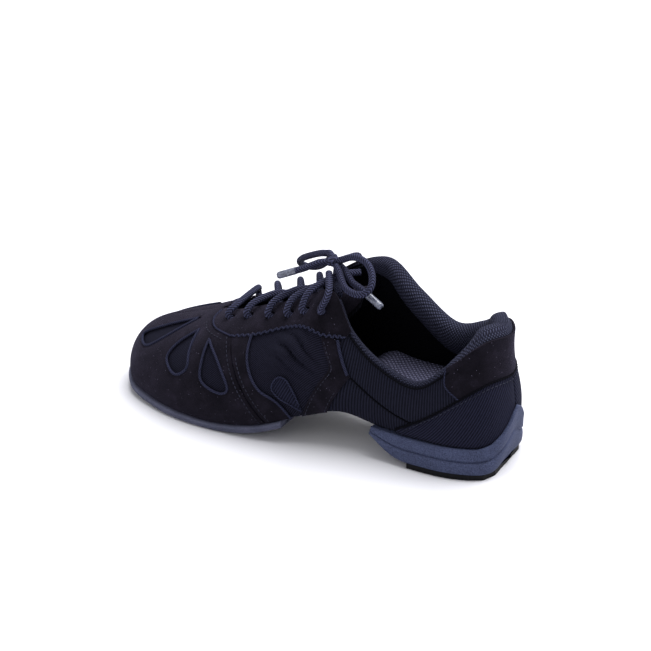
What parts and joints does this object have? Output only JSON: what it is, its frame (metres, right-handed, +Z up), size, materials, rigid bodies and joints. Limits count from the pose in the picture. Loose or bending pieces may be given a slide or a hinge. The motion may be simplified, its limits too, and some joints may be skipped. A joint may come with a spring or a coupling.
{
  "type": "lace-up dance sneaker",
  "caption": "Low lace-up dance sneaker with split sole, cut-out suede toe, ribbed fabric quarters, padded collar and bow-tied laces.",
  "frame": {"origin": "on the floor, under the middle of the shoe", "axes": "+X to the heel, -X to the toe, -Y to the outer side of the shoe, +Z up"},
  "size_m": [0.272, 0.0986, 0.1161],
  "materials": {
    "suede": "napped suede, near black",
    "ribbed_fabric": "fine vertical rib, blue-black",
    "twill": "diagonal twill, blue-black",
    "knit_mesh": "knitted mesh, blue-black",
    "sock_textile": "woven basket pattern, slate",
    "board": "pressed fibre board",
    "eva_foam": "moulded foam, slate blue",
    "soft_foam": "open-cell foam",
    "sole_rubber": "matt grey",
    "heel_rubber": "matt black",
    "lace": "round braid, blue-black",
    "clear_tip": "clear, glossy"
  },
  "bodies": {
    "forefoot_half": {"forefoot_outsole": "sole_rubber", "forefoot_board": "board", "forefoot_sock": "sock_textile", "vamp": "suede", "vamp_underlay": "twill", "forefoot_lining": "knit_mesh", "side_panel_outer": "twill", "side_band_outer": "suede", "arch_strap_outer": "suede", "side_insert_outer": "ribbed_fabric", "facing_outer": "suede", "collar_front_outer": "knit_mesh", "side_panel_inner": "twill", "side_band_inner": "suede", "arch_strap_inner": "suede", "side_insert_inner": "ribbed_fabric", "facing_inner": "suede", "collar_front_inner": "knit_mesh", "lace_bar": "lace", "lace_outer_1": "lace", "lace_inner_1": "lace", "lace_outer_2": "lace", "lace_inner_2": "lace", "lace_outer_3": "lace", "lace_inner_3": "lace", "lace_outer_4": "lace", "lace_inner_4": "lace", "lace_outer_top": "lace", "lace_inner_top": "lace", "bow_knot": "lace", "bow_outer_loop": "lace", "bow_inner_loop": "lace", "bow_outer_end": "lace", "bow_inner_end": "lace", "aglet_outer": "clear_tip", "aglet_inner": "clear_tip"},
    "heel_half": {"heel_wedge": "eva_foam", "heel_plate": "heel_rubber", "heel_board": "board", "heel_sock": "sock_textile", "quarter_outer": "ribbed_fabric", "arch_panel_outer": "ribbed_fabric", "foxing_outer": "ribbed_fabric", "quarter_inner": "ribbed_fabric", "arch_panel_inner": "ribbed_fabric", "foxing_inner": "ribbed_fabric", "heel_patch": "suede", "heel_counter": "board", "heel_lining": "knit_mesh", "collar_padding": "knit_mesh"},
    "tongue": {"tongue_face": "suede", "tongue_foam": "soft_foam", "tongue_lining": "knit_mesh"}
  },
  "joints": [
    {"name": "arch_flex", "type": "hinge", "parent": "forefoot_half", "child": "heel_half", "pos_m": [0.025, 0, 0.02], "axis": [0, 1, 0], "range_deg": [0, 20], "stiffness_Nm_per_rad": 2},
    {"name": "tongue_tilt", "type": "hinge", "parent": "forefoot_half", "child": "tongue", "pos_m": [-0.072, 0, 0.048], "axis": [0, 1, 0], "range_deg": [0, 8], "stiffness_Nm_per_rad": 0.3}
  ]
}
